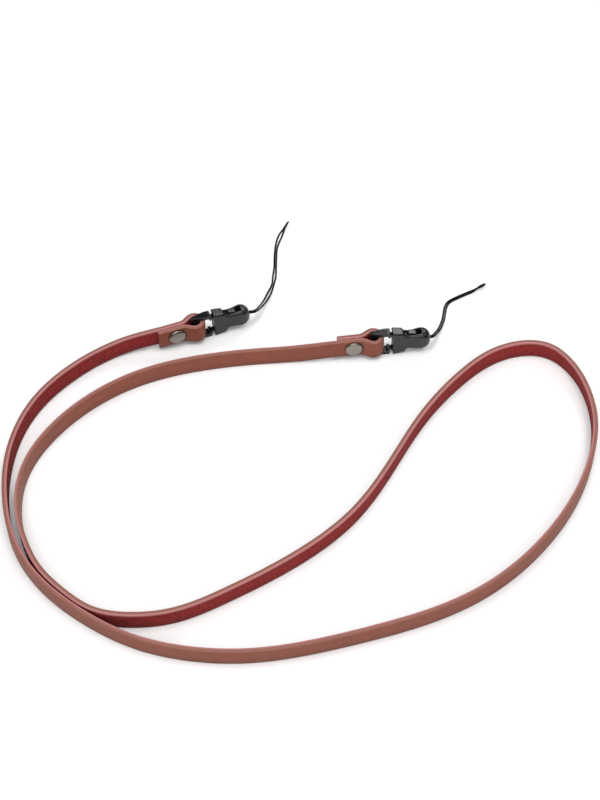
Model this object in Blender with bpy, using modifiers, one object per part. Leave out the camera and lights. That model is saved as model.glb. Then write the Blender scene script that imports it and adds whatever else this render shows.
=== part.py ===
"""Camera neck strap: flat leather band on its edge, two riveted folds, two quick releases, two cord loops.

Metres, +Z up.  The band stands on its lower edge at z = 0 and both quick releases stand on their rings.
"""
import math

import bmesh
import bpy
import numpy as np
from mathutils import Matrix, Vector

# Leather band
STRAP_WIDTH = 0.0090
STRAP_THICKNESS = 0.0020
EDGE_ROUNDING = 0.00035
LOOP_WIDTH = 0.2380
LOOP_DEPTH = 0.1500
ROUTE_STEP = 0.0070
FINE_STEPS = 40
GAP = 0.0003

# Folded ends and rivets
FOLD_RADIUS = 0.00365
FOLD_STEPS = 10
RIVET_FROM_BAR = 0.0085
SPREAD_UNDER_CAP = 0.0009
SPREAD_STEPS = 6
LIFT_RUN = 0.0300
RIVET_CAP_RADIUS = 0.0037
RIVET_POST_RADIUS = 0.0012
RIVET_CAP_HEIGHT = 0.0008

# Ring half of the quick release
RING_ARM = 0.0017
RING_THICKNESS = 0.0036
RING_NOSE = 0.0014
RING_BRIDGE = 0.0011
RING_CORNER = 0.0009
RING_ROUNDING = 0.0004
WINDOW_ROOM = 0.00125
WINDOW_CORNER = 0.0003
NECK_GAP = 0.0010
NECK_HEIGHT = 0.0092
NECK_ARM = 0.0009
PRONG_THICKNESS = 0.0022
PRONG_DEPTH = 0.0012
PRONG_TIP_GAP = 0.0008
CROTCH_REACH = 0.0031
CROTCH_DEPTH = 0.0019

# Socket half of the quick release
COLLAR_LENGTH = 0.0047
COLLAR_SLANT = 0.0012
SLOT_LENGTH = 0.0076
TAIL_LENGTH = 0.0039
SOCKET_FACE_WALL = 0.0009

# Cord loops
CORD_DIAMETER = 0.0008
CORD_STEP = 0.0021
CORD_INSIDE = 0.0032
CORD_EXIT_SPREAD = 0.0010
BIGHT_RADIUS = 0.0016
BIGHT_TURN = 225.0
BIGHT_LEAN = 26.0
BIGHT_STEPS = 7
RETURN_RUN = 0.0042
RETURN_STEPS = 4

# Sizes that follow from the ones above
RING_HEIGHT = STRAP_WIDTH + 2 * GAP + 2 * RING_ARM
STRAP_LIFT = RING_ARM + GAP
LAYER_SPACING = STRAP_THICKNESS + GAP
SPREAD_FROM_BAR = RIVET_FROM_BAR - RIVET_CAP_RADIUS + SPREAD_UNDER_CAP
FOLD_OUTSIDE = FOLD_RADIUS + STRAP_THICKNESS / 2 + GAP
FOLD_INSIDE = FOLD_RADIUS - STRAP_THICKNESS / 2 - GAP
WINDOW_LENGTH = FOLD_OUTSIDE + WINDOW_ROOM
RING_REACH = WINDOW_LENGTH + RING_BRIDGE
COLLAR_THICKNESS = PRONG_THICKNESS + 2 * (GAP + SOCKET_FACE_WALL)
PRONG_REACH = COLLAR_LENGTH + SLOT_LENGTH - PRONG_TIP_GAP
SOCKET_START = RING_REACH + NECK_GAP
SLOT_START = SOCKET_START + COLLAR_LENGTH
SLOT_END = SLOT_START + SLOT_LENGTH
TAIL = SLOT_END + TAIL_LENGTH

# Rivet's middle from the ring bar, with Z across the folded leather
RIVET_PLACE = Matrix.Translation((-RIVET_FROM_BAR, 0, 0)) @ Matrix.Rotation(math.pi / 2, 4, "X")

# Route of the band's middle line, from the left rivet to the right one.  Across is a share of half the
# loop's width, along of half its depth; inset moves a place towards the middle, in thicknesses; lean
# is in degrees, with the upper edge towards the left of the way.
ROUTE = (
    # across, along, inset, lean
    (-0.636, 0.998, 0.00, 0.0),
    (-0.796, 0.832, 0.00, -3.0),
    (-0.937, 0.553, 0.00, -3.0),
    (-1.000, 0.180, 0.00, -1.5),
    (-0.989, -0.120, 0.00, 1.0),
    (-0.936, -0.378, 0.00, 0.0),
    (-0.838, -0.596, 0.00, -1.0),
    (-0.713, -0.762, 0.00, -1.5),
    (-0.533, -0.917, 0.00, -2.5),
    (-0.346, -0.989, 0.00, -2.0),
    (-0.160, -0.996, 0.00, -2.0),
    (0.024, -0.948, 0.00, -2.5),
    (0.207, -0.872, 0.00, -1.5),
    (0.390, -0.776, 0.00, -1.0),
    (0.569, -0.633, 0.00, 0.0),
    (0.734, -0.418, 0.00, 2.0),
    (0.877, -0.128, 0.00, 3.0),
    (0.978, 0.240, 0.00, 1.5),
    (1.001, 0.447, 0.00, 3.0),
    (0.992, 0.653, 0.00, 6.0),
    (0.947, 0.843, 0.00, 6.0),
    (0.866, 0.965, 0.00, 2.5),
    (0.761, 0.973, 0.00, 0.0),
    (0.654, 0.897, 0.00, -3.0),
    (0.561, 0.771, 0.00, -3.0),
    (0.405, 0.464, 0.00, -2.0),
    (0.284, 0.125, 0.00, -2.0),
    (0.156, -0.180, 0.00, -2.0),
    (-0.001, -0.407, 0.00, -1.5),
    (-0.254, -0.657, 0.00, 0.0),
    (-0.416, -0.772, 0.00, 0.0),
    (-0.550, -0.797, 0.00, 0.0),
    (-0.672, -0.773, 0.50, 0.0),
    (-0.780, -0.678, 1.20, 0.0),
    (-0.872, -0.530, 1.30, 0.0),
    (-0.930, -0.365, 1.40, 0.0),
    (-0.968, -0.150, 1.30, 0.0),
    (-0.949, 0.115, 0.40, 0.0),
    (-0.884, 0.333, 0.00, 0.0),
    (-0.756, 0.576, 0.00, 0.0),
    (-0.593, 0.753, 0.00, 0.0),
    (-0.350, 0.877, 0.00, 0.0),
    (-0.094, 0.929, 0.00, 0.0),
)

# Where each fold turns round its ring bar, as shares like the route's, and the way the quick release
# points, in degrees.  Side is the side of that way on which the band arrives, flap the metres of band
# beyond the rivet's middle.
ENDS = {
    # name: across, along, heading, side, flap
    "left": (-0.395, 1.111, 21.0, 1, 0.0080),
    "right": (0.245, 0.997, 8.0, -1, 0.0068),
}

# Middle line of each doubled cord, in metres: along X and Y from the hole in the socket's tail, height
# above the surface, and the distance between its two strands.
CORDS = {
    # x, y, height, spread
    "left": (
        (0.0024, 0.0008, 0.0062, 0.0010),
        (0.0042, 0.0035, 0.0050, 0.0010),
        (0.0061, 0.0080, 0.0032, 0.0012),
        (0.0083, 0.0148, 0.0013, 0.0015),
        (0.0093, 0.0183, 0.0007, 0.0013),
        (0.0100, 0.0208, 0.0005, 0.0010),
        (0.0108, 0.0265, 0.0005, 0.0013),
        (0.0111, 0.0313, 0.0005, 0.0010),
        (0.0112, 0.0381, 0.0005, 0.0010),
        (0.0115, 0.0441, 0.0005, 0.0010),
        (0.0129, 0.0506, 0.0005, 0.0016),
        (0.0142, 0.0541, 0.0005, 0.0013),
        (0.0151, 0.0561, 0.0005, 0.0010),
    ),
    "right": (
        (0.0011, 0.0005, 0.0062, 0.0010),
        (0.0025, 0.0027, 0.0050, 0.0010),
        (0.0044, 0.0068, 0.0030, 0.0010),
        (0.0061, 0.0117, 0.0012, 0.0010),
        (0.0071, 0.0152, 0.0005, 0.0010),
        (0.0082, 0.0210, 0.0005, 0.0010),
        (0.0090, 0.0235, 0.0005, 0.0010),
        (0.0101, 0.0252, 0.0005, 0.0010),
        (0.0123, 0.0269, 0.0005, 0.0010),
        (0.0172, 0.0297, 0.0005, 0.0010),
        (0.0235, 0.0331, 0.0005, 0.0010),
    ),
}

# Outer form of the socket: how far along each of its three stretches a section stands, its height as a
# share of the ring's, its thickness as a share of the collar's, its corners as shares of half its
# smaller side, and its slant, with the top nearer the ring, as a share of the collar's.
SOCKET_FORM = (
    # stretch, place, height, thickness, corner, slant
    ("collar", 0.00, 0.975, 0.920, 0.30, 0.45),
    ("collar", 0.07, 1.000, 1.000, 0.30, 0.50),
    ("collar", 0.97, 0.880, 1.000, 0.30, 1.00),
    ("slot", 0.02, 0.850, 0.970, 0.34, 1.00),
    ("slot", 0.09, 0.675, 0.960, 0.40, 0.90),
    ("slot", 0.30, 0.620, 0.960, 0.44, 0.40),
    ("slot", 0.61, 0.640, 1.060, 0.48, 0.00),
    ("slot", 0.87, 0.690, 1.220, 0.52, 0.00),
    ("tail", 0.10, 0.715, 1.300, 0.60, 0.00),
    ("tail", 0.48, 0.660, 1.260, 0.70, 0.00),
    ("tail", 0.78, 0.530, 1.060, 0.80, 0.00),
    ("tail", 0.95, 0.370, 0.780, 0.90, 0.00),
    ("tail", 1.00, 0.280, 0.610, 0.90, 0.00),
)

# Half outline of neck and prong above the middle line, as shares of the prong's reach from the neck
# and of half the neck's height.
PRONG_OUTLINE = (
    # forward, height
    (0.00, 1.00),
    (0.36, 1.00),
    (0.50, 0.82),
    (0.60, 1.06),
    (0.86, 0.94),
    (1.00, 0.58),
)

# Rounded nose of the ring seen from above, as shares of its reach behind the bar and of half the
# ring's thickness.
NOSE_OUTLINE = (
    # back, aside
    (1.00, 0.20),
    (0.65, 0.40),
    (-0.60, 0.60),
    (-2.30, 0.88),
    (-3.80, 1.02),
)

# Half outline of a rivet's cap, as shares of its radius and of its height above the leather.
RIVET_CAP_OUTLINE = (
    # radius, height
    (0.00, 1.00),
    (0.45, 0.97),
    (0.80, 0.86),
    (0.93, 0.68),
    (1.00, 0.34),
    (1.00, 0.00),
)

COLOURS = {
    # name: colour, roughness, metallic
    "leather": ((0.290, 0.105, 0.078, 1.0), 0.55, 0.0),
    "black_plastic": ((0.012, 0.012, 0.013, 1.0), 0.42, 0.0),
    "nickel": ((0.430, 0.390, 0.340, 1.0), 0.32, 1.0),
    "cord": ((0.008, 0.008, 0.009, 1.0), 0.75, 0.0),
}


def clear_scene():
    for item in list(bpy.data.objects):
        bpy.data.objects.remove(item, do_unlink=True)


def make_collection(name):
    collection = bpy.data.collections.new(name)
    bpy.context.scene.collection.children.link(collection)
    return collection


def make_material(name):
    colour, roughness, metallic = COLOURS[name]
    material = bpy.data.materials.new(name)
    material.use_nodes = True
    surface = material.node_tree.nodes["Principled BSDF"]
    surface.inputs["Base Color"].default_value = colour
    surface.inputs["Roughness"].default_value = roughness
    surface.inputs["Metallic"].default_value = metallic
    material.diffuse_color = colour
    return material


def make_object(name, data, collection, material=None):
    item = bpy.data.objects.new(name, data)
    collection.objects.link(item)
    if material:
        data.materials.append(material)
    return item


def mesh_from(name, verts, faces):
    mesh = bpy.data.meshes.new(name)
    mesh.from_pydata(verts, [], faces)
    mesh.update()
    return mesh


def smooth_share(value):
    value = min(max(value, 0.0), 1.0)
    return value * value * (3 - 2 * value)


def smooth_curve(rows, first_way, last_way, step):
    """Evenly spaced rows on the curve through the given rows that bends most evenly.

    Columns after the first two or three are carried along.  The ways are the curve's directions at
    its two ends, as rows of the same width.
    """
    rows = np.array(rows, dtype=float)
    count = len(rows)
    spans = np.linalg.norm(np.diff(rows[:, :2], axis=0), axis=1)
    slopes = np.diff(rows, axis=0) / spans[:, None]
    system = np.zeros((count, count))
    right = np.zeros_like(rows)
    system[0, 0] = system[-1, -1] = 1.0
    right[0] = first_way
    right[-1] = last_way
    for i in range(1, count - 1):
        before, after = 1 / spans[i - 1], 1 / spans[i]
        system[i, i - 1:i + 2] = before, 2 * (before + after), after
        right[i] = 3 * (slopes[i - 1] * before + slopes[i] * after)
    tangents = np.linalg.solve(system, right)
    fine = [rows[0]]
    for i, span in enumerate(spans):
        for t in np.linspace(0, 1, FINE_STEPS + 1)[1:]:
            fine.append((2 * t ** 3 - 3 * t ** 2 + 1) * rows[i]
                        + (t ** 3 - 2 * t ** 2 + t) * span * tangents[i]
                        + (3 * t ** 2 - 2 * t ** 3) * rows[i + 1]
                        + (t ** 3 - t ** 2) * span * tangents[i + 1])
    fine = np.array(fine)
    along = np.concatenate([[0], np.cumsum(np.linalg.norm(np.diff(fine[:, :2], axis=0), axis=1))])
    places = np.linspace(0, along[-1], max(2, round(along[-1] / step)) + 1)
    return np.stack([np.interp(places, along, column) for column in fine.T], axis=1)


def end_frame(name):
    """Place of a fold's ring bar, with X the way that the quick release points."""
    across, along, heading, _, _ = ENDS[name]
    centre = Vector((across * LOOP_WIDTH / 2, along * LOOP_DEPTH / 2, RING_HEIGHT / 2))
    return Matrix.Translation(centre) @ Matrix.Rotation(math.radians(heading), 4, "Z")


def fold_rows(name):
    """Middle line of a folded end, from where the route joins it to the tip of its flap."""
    frame = end_frame(name)
    _, _, _, side, flap = ENDS[name]
    joint = RIVET_FROM_BAR + RIVET_CAP_RADIUS + 2 * GAP
    tip = RIVET_FROM_BAR + flap

    def layer(back, sign):
        opened = smooth_share(1 - back / SPREAD_FROM_BAR)
        offset = LAYER_SPACING / 2 + (FOLD_RADIUS - LAYER_SPACING / 2) * opened
        return (-back, sign * side * offset)

    opening = [SPREAD_FROM_BAR * (1 - i / SPREAD_STEPS) for i in range(SPREAD_STEPS)]
    turn = [math.pi / 2 - math.pi * i / FOLD_STEPS for i in range(FOLD_STEPS + 1)]
    plan = [layer(joint, 1), layer(RIVET_FROM_BAR, 1)]
    plan += [layer(back, 1) for back in opening]
    plan += [(FOLD_RADIUS * math.cos(a), side * FOLD_RADIUS * math.sin(a)) for a in turn]
    plan += [layer(back, -1) for back in reversed(opening)]
    plan += [layer(RIVET_FROM_BAR, -1), layer(tip, -1)]
    rows = []
    for forward, aside in plan:
        spot = frame @ Vector((forward, aside, 0))
        rows.append((spot.x, spot.y, STRAP_LIFT, 0.0))
    return rows


def strap_rows():
    """The band's middle line with its lift and lean, from the left flap's tip to the right one's."""
    left, right = fold_rows("left"), fold_rows("right")
    rows = [left[0]]
    for across, along, inset, lean in ROUTE:
        spot = Vector((across * LOOP_WIDTH / 2, along * LOOP_DEPTH / 2))
        spot -= spot.normalized() * inset * STRAP_THICKNESS
        rows.append((spot.x, spot.y, 0.0, lean))
    rows.append(right[0])
    ways = []
    for name, sign in (("left", -1), ("right", 1)):
        heading = math.radians(ENDS[name][2])
        ways.append((sign * math.cos(heading), sign * math.sin(heading), 0.0, 0.0))
    route = smooth_curve(rows, ways[0], ways[1], ROUTE_STEP)
    along = np.concatenate([[0], np.cumsum(np.linalg.norm(np.diff(route[:, :2], axis=0), axis=1))])
    for row, done in zip(route, along):
        nearest = min(done, along[-1] - done)
        row[2] = STRAP_LIFT * (1 - smooth_share(nearest / LIFT_RUN))
    return left[::-1] + [tuple(row) for row in route[1:-1]] + right


def make_strap(places, parts, cutters, material):
    rows = strap_rows()
    verts, faces = [], []
    for i, (x, y, lift, lean) in enumerate(rows):
        before, after = rows[max(i - 1, 0)], rows[min(i + 1, len(rows) - 1)]
        way = Vector((after[0] - before[0], after[1] - before[1], 0)).normalized()
        leftward = Vector((-way.y, way.x, 0))
        angle = math.radians(lean)
        upward = Vector((0, 0, math.cos(angle))) + leftward * math.sin(angle)
        foot = Vector((x, y, lift + STRAP_THICKNESS / 2 * abs(math.sin(angle))))
        verts += [foot, foot + upward * STRAP_WIDTH]
        if i:
            faces.append((2 * i - 2, 2 * i, 2 * i + 1, 2 * i - 1))
    strap = make_object("strap", mesh_from("strap", verts, faces), parts, material)
    wall = strap.modifiers.new("wall", "SOLIDIFY")
    wall.thickness = STRAP_THICKNESS
    wall.offset = 0
    wall.use_even_offset = True
    edges = strap.modifiers.new("edges", "BEVEL")
    edges.width = EDGE_ROUNDING
    edges.segments = 2
    edges.limit_method = "ANGLE"
    edges.angle_limit = math.radians(50)
    for name in ENDS:
        cutter = make_cylinder(name + "_rivet_hole", RIVET_POST_RADIUS + GAP, 4 * LAYER_SPACING, cutters)
        cutter.parent = places[name]
        cutter.matrix_basis = RIVET_PLACE
        cut(strap, cutter)
    return strap


def make_cylinder(name, radius, length, collection, sides=20):
    mesh = bpy.data.meshes.new(name)
    builder = bmesh.new()
    bmesh.ops.create_cone(builder, cap_ends=True, segments=sides, radius1=radius, radius2=radius,
                          depth=length)
    builder.to_mesh(mesh)
    builder.free()
    return hide_cutter(make_object(name, mesh, collection))


def make_box(name, low, high, collection):
    mesh = bpy.data.meshes.new(name)
    builder = bmesh.new()
    bmesh.ops.create_cube(builder, size=1)
    low, high = Vector(low), Vector(high)
    for vert in builder.verts:
        vert.co = Vector([(a + b) / 2 + c * (b - a) for a, b, c in zip(low, high, vert.co)])
    builder.to_mesh(mesh)
    builder.free()
    return hide_cutter(make_object(name, mesh, collection))


def hide_cutter(item):
    item.hide_render = True
    item.display_type = "WIRE"
    return item


def cut(item, tool, operation="DIFFERENCE"):
    step = item.modifiers.new(tool.name, "BOOLEAN")
    step.object = tool
    step.operation = operation
    step.solver = "EXACT"


def make_plate(name, outline, thickness, collection, rounding=0.0, upright=True):
    """Flat solid from an outline in X and Z, or in X and Y where it isn't upright."""
    curve = bpy.data.curves.new(name, "CURVE")
    curve.dimensions = "2D"
    curve.fill_mode = "BOTH"
    curve.extrude = thickness / 2
    spline = curve.splines.new("POLY")
    spline.points.add(len(outline) - 1)
    for point, (a, b) in zip(spline.points, outline):
        point.co = (a, b, 0, 1)
    spline.use_cyclic_u = True
    flat = make_object(name + "_outline", curve, collection)
    mesh = bpy.data.meshes.new_from_object(flat.evaluated_get(bpy.context.evaluated_depsgraph_get()))
    bpy.data.objects.remove(flat, do_unlink=True)
    builder = bmesh.new()
    builder.from_mesh(mesh)
    bmesh.ops.remove_doubles(builder, verts=builder.verts, dist=1e-6)
    if upright:
        bmesh.ops.transform(builder, matrix=Matrix.Rotation(math.pi / 2, 4, "X"), verts=builder.verts)
    bmesh.ops.recalc_face_normals(builder, faces=builder.faces)
    builder.to_mesh(mesh)
    builder.free()
    item = make_object(name, mesh, collection)
    if rounding:
        edges = item.modifiers.new("edges", "BEVEL")
        edges.width = rounding
        edges.segments = 2
        edges.limit_method = "ANGLE"
        edges.angle_limit = math.radians(50)
    return item


def mirrored(half):
    """The other half of an outline that is the same on both sides of its first axis."""
    return [(a, -b) for a, b in reversed(half)]


def rounded_box_outline(low, high, radius, steps):
    """Outline of a rectangle with round corners, anticlockwise."""
    outline = []
    for corner in range(4):
        x = high[0] - radius if corner in (0, 3) else low[0] + radius
        y = high[1] - radius if corner in (0, 1) else low[1] + radius
        for i in range(steps + 1):
            angle = math.pi / 2 * (corner + i / steps)
            outline.append((x + radius * math.cos(angle), y + radius * math.sin(angle)))
    return outline


def make_rivet(name, parts, material):
    seat = LAYER_SPACING / 2 + STRAP_THICKNESS / 2 + GAP
    upper = [(r * RIVET_CAP_RADIUS, seat + h * RIVET_CAP_HEIGHT) for r, h in RIVET_CAP_OUTLINE]
    upper.append((RIVET_POST_RADIUS, seat))
    profile = upper + [(r, -h) for r, h in reversed(upper)]
    mesh = bpy.data.meshes.new(name)
    mesh.from_pydata([(r, 0, h) for r, h in profile], [(i, i + 1) for i in range(len(profile) - 1)], [])
    rivet = make_object(name, mesh, parts, material)
    turn = rivet.modifiers.new("turn", "SCREW")
    turn.steps = turn.render_steps = 28
    turn.use_merge_vertices = True
    turn.merge_threshold = 1e-6
    turn.use_smooth_shade = True
    return rivet


def make_plug(name, parts, cutters, material):
    """Ring bar that carries the fold, with the neck and two prongs that snap into the socket."""
    half_ring = RING_HEIGHT / 2
    outline = rounded_box_outline((-RING_NOSE, -half_ring), (RING_REACH, half_ring), RING_CORNER, 3)
    plug = make_plate(name, outline, RING_THICKNESS, parts, rounding=RING_ROUNDING)
    plug.data.materials.append(material)
    side = [(-back * RING_NOSE, aside * RING_THICKNESS / 2) for back, aside in NOSE_OUTLINE]
    side.append((RING_REACH + GAP, RING_THICKNESS / 2 + GAP))
    nose = make_plate(name + "_nose", side + mirrored(side), 2 * RING_HEIGHT, cutters, upright=False)
    cut(plug, hide_cutter(nose), "INTERSECT")
    high = STRAP_WIDTH / 2 + GAP
    low = NECK_HEIGHT / 2 - NECK_ARM
    edge = [(0.0, high), (WINDOW_LENGTH - WINDOW_CORNER, high), (WINDOW_LENGTH, high - WINDOW_CORNER),
            (WINDOW_LENGTH, low), (RING_REACH + GAP, low)]
    window = make_plate(name + "_window", edge + mirrored(edge), 2 * RING_THICKNESS, cutters)
    cut(window, make_cylinder(name + "_bar", FOLD_INSIDE, 2 * RING_HEIGHT, cutters))
    cut(plug, hide_cutter(window))
    root = RING_REACH - RING_BRIDGE / 2
    outer = [(SOCKET_START + x * PRONG_REACH, z * NECK_HEIGHT / 2) for x, z in PRONG_OUTLINE]
    outer[0] = (root, NECK_HEIGHT / 2)
    inner = [(x, z - PRONG_DEPTH) for x, z in reversed(outer[2:])]
    inner.append((SOCKET_START + CROTCH_REACH, NECK_HEIGHT / 2 - CROTCH_DEPTH))
    half = [(SOCKET_START + GAP, low), (root, low)] + outer + inner
    prongs = make_plate(name + "_prongs", half + mirrored(half), PRONG_THICKNESS, cutters)
    cut(plug, hide_cutter(prongs), "UNION")
    return plug


def make_socket(name, parts, cutters, material):
    """Hollow body with a mouth for the prongs, a slot through both narrow sides and a hole in its tail."""
    stretches = {
        "collar": (SOCKET_START, COLLAR_LENGTH),
        "slot": (SLOT_START, SLOT_LENGTH),
        "tail": (SLOT_END, TAIL_LENGTH),
    }
    verts, faces = [], []
    for stretch, place, height, thickness, corner, slant in SOCKET_FORM:
        start, length = stretches[stretch]
        half = (thickness * COLLAR_THICKNESS / 2, height * RING_HEIGHT / 2)
        section = rounded_box_outline((-half[0], -half[1]), half, corner * min(half), 4)
        drift = slant * COLLAR_SLANT / RING_HEIGHT
        verts += [(start + place * length - drift * z, y, z) for y, z in section]
    count = len(section)
    for ring in range(len(SOCKET_FORM) - 1):
        for i in range(count):
            a, b = ring * count + i, ring * count + (i + 1) % count
            faces.append((a, b, b + count, a + count))
    faces.append(tuple(reversed(range(count))))
    faces.append(tuple(range(len(verts) - count, len(verts))))
    socket = make_object(name, mesh_from(name, verts, faces), parts, material)
    half_thick = PRONG_THICKNESS / 2 + GAP
    half_mouth = NECK_HEIGHT / 2 + GAP
    cut(socket, make_box(name + "_mouth", (SOCKET_START - GAP, -half_thick, -half_mouth),
                         (SLOT_END, half_thick, half_mouth), cutters))
    cut(socket, make_box(name + "_slot", (SLOT_START, -half_thick, -RING_HEIGHT),
                         (SLOT_END, half_thick, RING_HEIGHT), cutters))
    hole = make_cylinder(name + "_cord_hole", CORD_DIAMETER / 2 + GAP, 4 * TAIL_LENGTH, cutters)
    for vert in hole.data.vertices:
        vert.co.y *= 1 + CORD_EXIT_SPREAD / (CORD_DIAMETER + 2 * GAP)
    hole.matrix_basis = Matrix.Translation((TAIL, 0, 0)) @ Matrix.Rotation(math.pi / 2, 4, "Y")
    cut(socket, hole)
    return socket


def bight_rows(end, way, back):
    """Curl of the first strand's end, upwards and over, and its way down to where the second one lies."""
    lean = math.radians(BIGHT_LEAN)
    rise = Vector((0, 0, math.cos(lean))) + Vector((way.y, -way.x, 0)) * math.sin(lean)
    curl = []
    for i in range(BIGHT_STEPS + 1):
        angle = math.radians(BIGHT_TURN * i / BIGHT_STEPS - 90)
        curl.append(end + BIGHT_RADIUS * (way * (1 + math.cos(angle)) + rise * (1 + math.sin(angle))))
    run = (back[0] - curl[-1]).length
    leave, arrive = (rise * math.cos(angle) - way * math.sin(angle)) * run, (back[1] - back[0]).normalized() * run
    down = []
    for i in range(1, RETURN_STEPS):
        t = i / RETURN_STEPS
        down.append((2 * t ** 3 - 3 * t ** 2 + 1) * curl[-1] + (t ** 3 - 2 * t ** 2 + t) * leave
                    + (3 * t ** 2 - 2 * t ** 3) * back[0] + (t ** 3 - t ** 2) * arrive)
    return curl + down


def cord_rows(name):
    """Both strands and the bight of one loop, as one line from the tail's hole back into it."""
    frame = end_frame(name)
    start = frame @ Vector((TAIL - CORD_INSIDE, 0, 0))
    exit_spot = frame @ Vector((TAIL, 0, 0))
    rows = [(*start, CORD_EXIT_SPREAD), (*exit_spot, CORD_EXIT_SPREAD)]
    rows += [(exit_spot.x + x, exit_spot.y + y, z, spread) for x, y, z, spread in CORDS[name]]
    first = (exit_spot - start).normalized()
    last = (Vector(rows[-1][:2]) - Vector(rows[-2][:2])).normalized()
    line = smooth_curve(rows, (first.x, first.y, 0, 0), (last.x, last.y, 0, 0), CORD_STEP)
    strands = []
    for sign in (1, -1):
        strand = []
        for i, (x, y, z, spread) in enumerate(line):
            before, after = line[max(i - 1, 0)], line[min(i + 1, len(line) - 1)]
            way = Vector((after[0] - before[0], after[1] - before[1], 0)).normalized()
            aside = Vector((-way.y, way.x, 0))
            strand.append(Vector((x, y, max(z, CORD_DIAMETER / 2))) + aside * sign * spread / 2)
        strands.append(strand)
    back = strands[1][-1 - round(RETURN_RUN / CORD_STEP)::-1]
    return strands[0] + bight_rows(strands[0][-1], Vector((last.x, last.y, 0)), back) + back


def make_cord(name, parts, material):
    curve = bpy.data.curves.new(name, "CURVE")
    curve.dimensions = "3D"
    curve.bevel_depth = CORD_DIAMETER / 2
    curve.bevel_resolution = 2
    curve.use_fill_caps = True
    rows = cord_rows(name.split("_")[0])
    spline = curve.splines.new("POLY")
    spline.points.add(len(rows) - 1)
    for point, row in zip(spline.points, rows):
        point.co = (*row, 1)
    return make_object(name, curve, parts, material)


def centre_on_footprint(items):
    """Move everything so that the pieces without the cords stand over the origin."""
    layout = bpy.data.objects.new("layout", None)
    bpy.context.scene.collection.objects.link(layout)
    bpy.context.view_layer.update()
    depsgraph = bpy.context.evaluated_depsgraph_get()
    corners = []
    for item in items:
        shaped = item.evaluated_get(depsgraph)
        mesh = shaped.to_mesh()
        corners += [item.matrix_world @ vert.co for vert in mesh.vertices]
        shaped.to_mesh_clear()
    xs, ys = [c.x for c in corners], [c.y for c in corners]
    layout.location = (-(min(xs) + max(xs)) / 2, -(min(ys) + max(ys)) / 2, 0)
    return layout


def make_place(name):
    """Empty at a fold's ring bar, which carries that end's rivet and quick release."""
    place = bpy.data.objects.new(name + "_end", None)
    bpy.context.scene.collection.objects.link(place)
    place.matrix_world = end_frame(name)
    return place


def main():
    clear_scene()
    parts = make_collection("camera_neck_strap")
    cutters = make_collection("cutters")
    finishes = {name: make_material(name) for name in COLOURS}
    places = {name: make_place(name) for name in ENDS}
    pieces = [make_strap(places, parts, cutters, finishes["leather"])]
    cords = []
    for name, place in places.items():
        known = set(bpy.data.objects)
        rivet = make_rivet(name + "_rivet", parts, finishes["nickel"])
        rivet.matrix_basis = RIVET_PLACE
        plug = make_plug(name + "_plug", parts, cutters, finishes["black_plastic"])
        socket = make_socket(name + "_socket", parts, cutters, finishes["black_plastic"])
        for item in set(bpy.data.objects) - known:
            item.parent = place
        pieces += [rivet, plug, socket]
        cords.append(make_cord(name + "_cord", parts, finishes["cord"]))
    layout = centre_on_footprint(pieces)
    for item in [pieces[0], *places.values(), *cords]:
        item.parent = layout


main()
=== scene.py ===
"""Neck strap for a camera: finished leather, rivets, quick releases and cord loops on a studio floor.

Metres, +Z up.  The pieces stand where the strap's solid model has them.
"""
import math

import bmesh
import bpy
import numpy as np
from bpy.props import FloatProperty, FloatVectorProperty, IntProperty, PointerProperty
from mathutils import Matrix, Vector


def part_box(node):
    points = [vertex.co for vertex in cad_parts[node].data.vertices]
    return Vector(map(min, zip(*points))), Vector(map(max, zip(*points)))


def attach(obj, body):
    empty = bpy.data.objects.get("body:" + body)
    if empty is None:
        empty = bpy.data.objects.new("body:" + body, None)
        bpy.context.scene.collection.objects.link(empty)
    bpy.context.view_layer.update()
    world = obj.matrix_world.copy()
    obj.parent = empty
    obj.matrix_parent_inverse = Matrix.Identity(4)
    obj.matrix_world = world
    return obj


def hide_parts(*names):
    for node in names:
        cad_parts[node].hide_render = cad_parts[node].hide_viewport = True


bl_info = {
    "name": "Camera Neck Strap",
    "version": (1, 0, 0),
    "blender": (4, 5, 0),
    "location": "View3D > Sidebar > Neck Strap",
    "description": "Leather neck strap with riveted folds, quick releases and cord loops",
    "category": "Add Mesh",
}

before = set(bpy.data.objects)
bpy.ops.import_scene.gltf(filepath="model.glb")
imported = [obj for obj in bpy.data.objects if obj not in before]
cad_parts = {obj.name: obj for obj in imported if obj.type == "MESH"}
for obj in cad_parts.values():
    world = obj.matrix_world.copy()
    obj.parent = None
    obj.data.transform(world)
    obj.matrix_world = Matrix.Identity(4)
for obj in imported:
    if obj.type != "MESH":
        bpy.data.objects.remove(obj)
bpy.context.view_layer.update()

# Sizes that the band, its folds and the quick releases share
STRAP_WIDTH = 0.0090
STRAP_THICKNESS = 0.0020
LOOP_WIDTH = 0.2380
LOOP_DEPTH = 0.1500
GAP = 0.0003
FOLD_RADIUS = 0.00365
RIVET_FROM_BAR = 0.0085
RIVET_CAP_RADIUS = 0.0037
SPREAD_UNDER_CAP = 0.0009
RING_ARM = 0.0017
TAIL_FROM_BAR = 0.0245
LIFT_RUN = 0.0300
# Width of the painted shadow round each rivet cap
RIVET_SHADOW_WIDTH = 0.0006
SPREAD_FROM_BAR = RIVET_FROM_BAR - RIVET_CAP_RADIUS + SPREAD_UNDER_CAP
STRAP_LIFT = RING_ARM + GAP
LAYER_SPACING = STRAP_THICKNESS + GAP
MIDDLE_HEIGHT = STRAP_WIDTH / 2 + GAP + RING_ARM

# How finely the curves are drawn, in metres or in steps
BAND_STEP = 0.0012
CORD_STEP = 0.0007
FINE_STEPS = 40
FOLD_STEPS = 24
BIGHT_STEPS = 24
RETURN_STEPS = 10
CAP_STEPS = 64

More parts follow.
